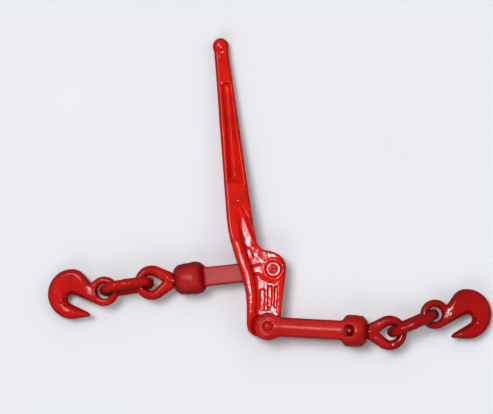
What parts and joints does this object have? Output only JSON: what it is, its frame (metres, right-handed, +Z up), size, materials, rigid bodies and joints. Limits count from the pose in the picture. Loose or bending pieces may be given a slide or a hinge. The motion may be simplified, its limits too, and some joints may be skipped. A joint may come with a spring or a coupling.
{
  "type": "lever load binder",
  "caption": "Lever-type over-centre chain tightener: forked handle, flat draw bar and fork, each with a swivel eye, link and grab hook.",
  "frame": {"origin": "centre of the footprint's box, on the bench", "axes": "+X along the two hooks, to the right; +Y along the lever, towards its tip; +Z up from the bench"},
  "size_m": [0.5772, 0.4038, 0.0485],
  "materials": {
    "red_enamel": "glossy red enamel over forged steel"
  },
  "bodies": {
    "lever": {"lever_handle": "red_enamel", "draw_bar_rivet": "red_enamel", "heel_rivet_upper": "red_enamel", "heel_rivet_lower": "red_enamel"},
    "yoke": {"yoke": "red_enamel"},
    "draw_bar": {"draw_bar": "red_enamel"},
    "left_eye": {"left_swivel_eye": "red_enamel"},
    "left_link": {"left_link": "red_enamel"},
    "left_hook": {"left_grab_hook": "red_enamel"},
    "right_eye": {"right_swivel_eye": "red_enamel"},
    "right_link": {"right_link": "red_enamel"},
    "right_hook": {"right_grab_hook": "red_enamel"}
  },
  "joints": [
    {"name": "yoke_pivot", "type": "hinge", "parent": "lever", "child": "yoke", "pos_m": [-0.00275, -0.17123, 0.02514], "axis": [0, 0.0427, 0.9991], "range_deg": [-86, 87]},
    {"name": "draw_bar_pivot", "type": "hinge", "parent": "lever", "child": "draw_bar", "pos_m": [0.00455, -0.0973, 0.02198], "axis": [0, 0.0427, 0.9991], "range_deg": [-44, 86]},
    {"name": "left_swivel", "type": "hinge", "parent": "draw_bar", "child": "left_eye", "pos_m": [-0.12397, -0.11148, 0.02259], "axis": [-0.994, -0.1096, 0.0047], "continuous": true},
    {"name": "left_link_swing", "type": "hinge", "parent": "left_eye", "child": "left_link", "pos_m": [-0.16913, -0.11728, 0.02304], "axis": [0.1598, -0.9552, 0.249], "range_deg": [-80, 80]},
    {"name": "left_hook_swing", "type": "hinge", "parent": "left_link", "child": "left_hook", "pos_m": [-0.21447, -0.12575, 0.0218], "axis": [-0.1833, 0.0263, 0.9827], "range_deg": [-90, 90]},
    {"name": "right_swivel", "type": "hinge", "parent": "yoke", "child": "right_eye", "pos_m": [0.12657, -0.178, 0.02543], "axis": [0.9986, -0.0523, 0.0022], "continuous": true},
    {"name": "right_link_swing", "type": "hinge", "parent": "right_eye", "child": "right_link", "pos_m": [0.17083, -0.17352, 0.02524], "axis": [-0.394, 0.9178, 0.048], "range_deg": [-80, 80]},
    {"name": "right_hook_swing", "type": "hinge", "parent": "right_link", "child": "right_hook", "pos_m": [0.21428, -0.15566, 0.02288], "axis": [0.1839, 0.0439, 0.982], "range_deg": [-90, 90]}
  ]
}
